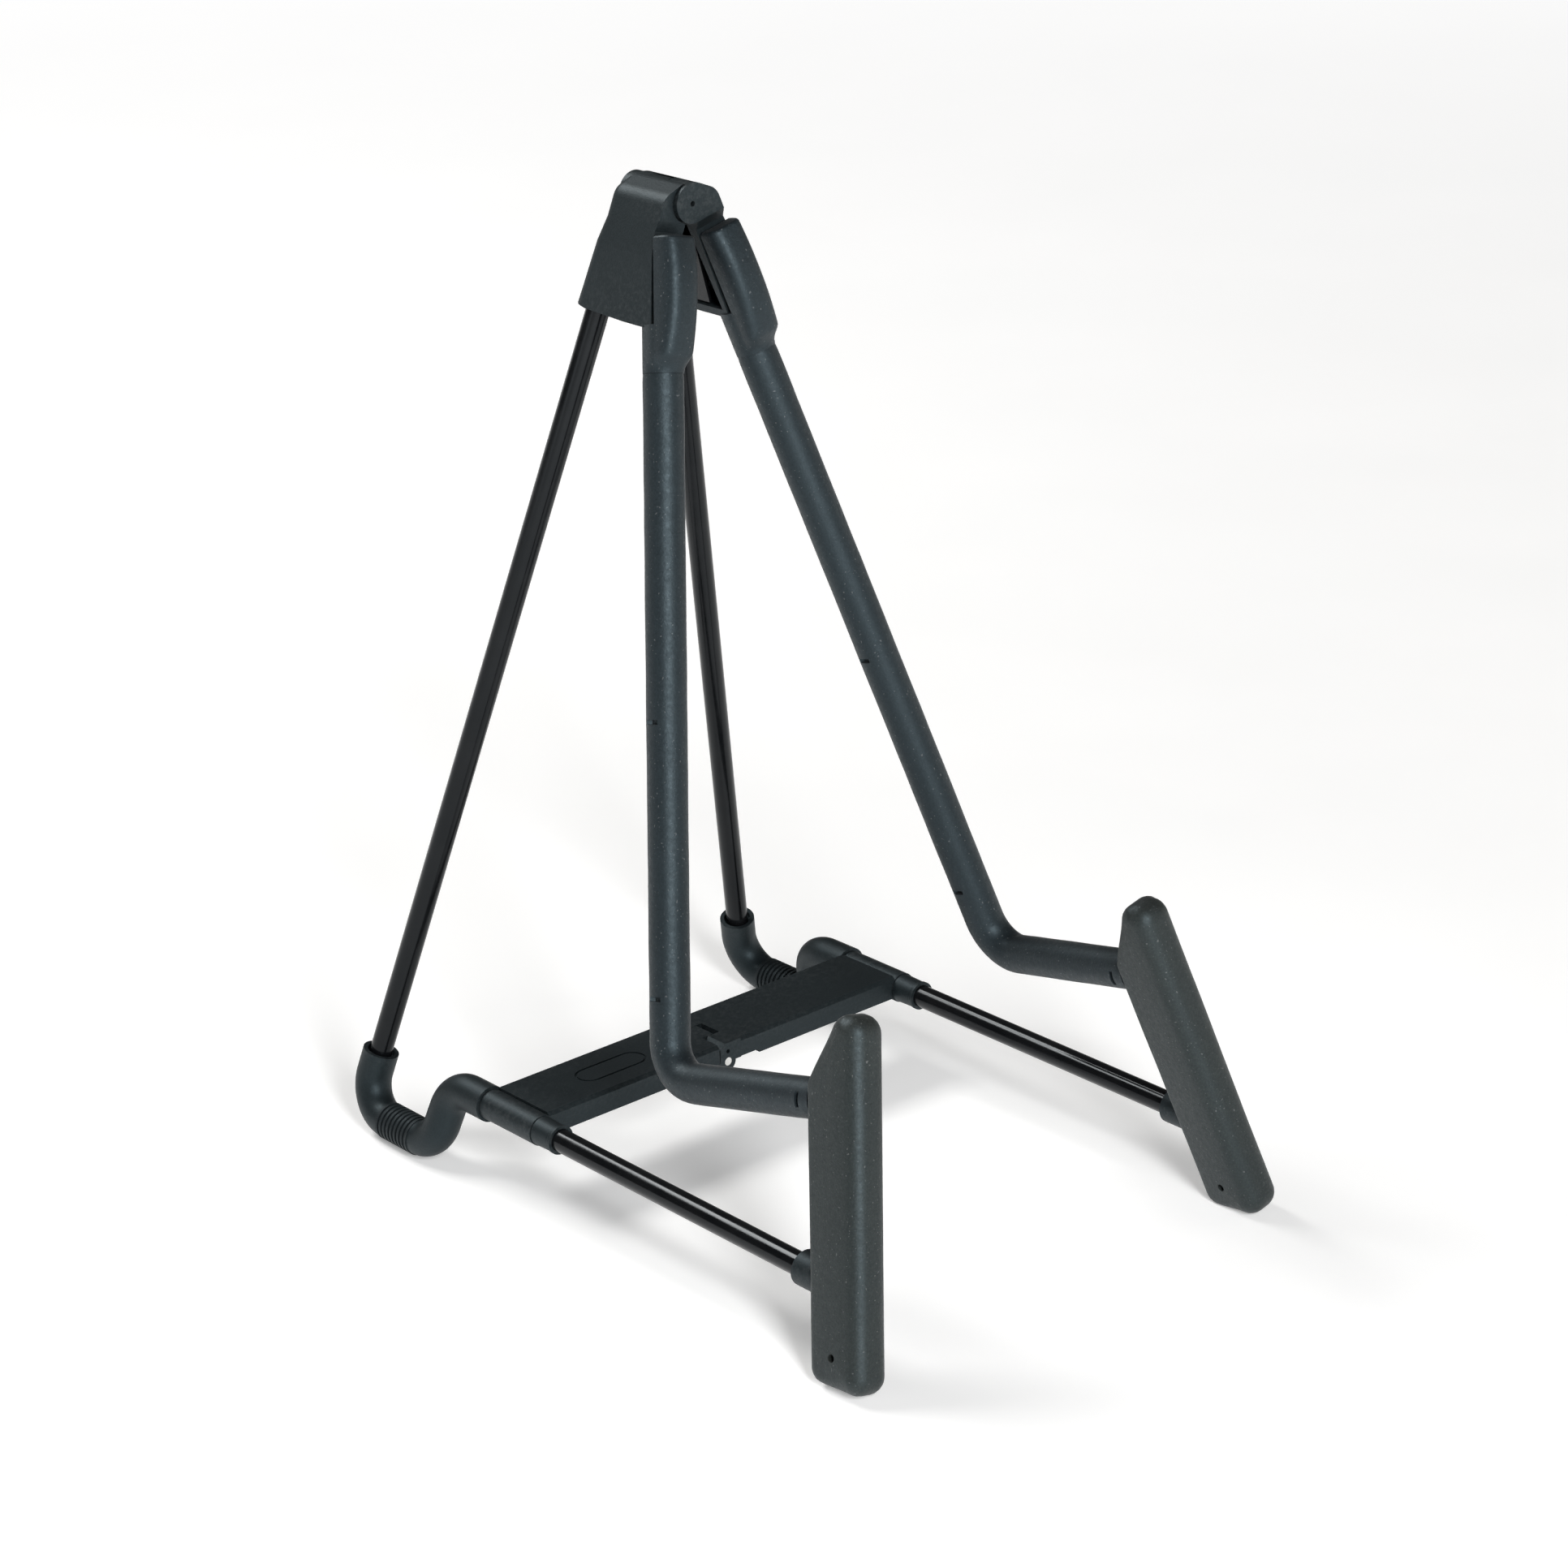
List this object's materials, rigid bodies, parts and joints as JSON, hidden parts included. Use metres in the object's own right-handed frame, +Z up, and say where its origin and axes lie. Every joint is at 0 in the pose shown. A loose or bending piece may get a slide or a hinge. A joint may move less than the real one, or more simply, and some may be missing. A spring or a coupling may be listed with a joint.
{
  "type": "folding instrument stand",
  "caption": "Folding A-frame floor stand for an electric guitar: padded front arms with upright bumpers, rear legs, and a two-link strut that folds up.",
  "frame": {"origin": "centre of the footprint, on the floor", "axes": "+Z up, +X to the right of someone facing the stand, -Y to the front where the instrument leans"},
  "size_m": [0.189, 0.2732, 0.3377],
  "materials": {
    "soft_foam": "matte",
    "grip_rubber": "matte",
    "hard_plastic": "matte",
    "painted_tube": "gloss",
    "bright_steel": "satin"
  },
  "bodies": {
    "left_frame": {"left_front_sleeve": "soft_foam", "left_back_pad": "soft_foam", "left_bumper": "soft_foam", "left_foot_grip": "grip_rubber", "left_rear_leg_tube": "painted_tube", "left_base_tube": "painted_tube", "left_front_tube": "painted_tube", "left_rear_foot": "hard_plastic", "left_bumper_core": "hard_plastic", "left_head_shell": "hard_plastic", "left_base_collar": "hard_plastic", "left_head_clamp": "painted_tube", "left_head_screws": "painted_tube", "head_pin_middle": "painted_tube"},
    "right_frame": {"right_front_sleeve": "soft_foam", "right_back_pad": "soft_foam", "right_bumper": "soft_foam", "right_foot_grip": "grip_rubber", "right_rear_leg_tube": "painted_tube", "right_base_tube": "painted_tube", "right_front_tube": "painted_tube", "right_rear_foot": "hard_plastic", "right_bumper_core": "hard_plastic", "right_head_shell": "hard_plastic", "right_base_collar": "hard_plastic", "right_head_clamp": "painted_tube", "right_head_screws": "painted_tube", "head_pin_ends": "painted_tube"},
    "strut_left": {"left_strut_link": "hard_plastic", "strut_pin": "bright_steel"},
    "strut_right": {"right_strut_link": "hard_plastic"}
  },
  "joints": [
    {"name": "strut_fold", "type": "hinge", "parent": "left_frame", "child": "strut_left", "pos_m": [-0.0812, 0.03367, 0.02971], "axis": [0, -1, 0], "range_deg": [0, 71.18]},
    {"name": "strut_middle", "type": "hinge", "parent": "strut_left", "child": "strut_right", "pos_m": [0, 0.03367, 0.02781], "axis": [0, 1, 0], "range_deg": [0, 168.97]},
    {"name": "right_half_swing", "type": "hinge", "parent": "strut_right", "child": "right_frame", "pos_m": [0.0812, 0.03367, 0.02971], "axis": [0, -1, 0], "range_deg": [0, 71.18]}
  ],
  "couplings": [
    {"joint": "strut_middle", "follows": "strut_fold", "ratio": 2.3737},
    {"joint": "right_half_swing", "follows": "strut_fold", "ratio": 1}
  ]
}
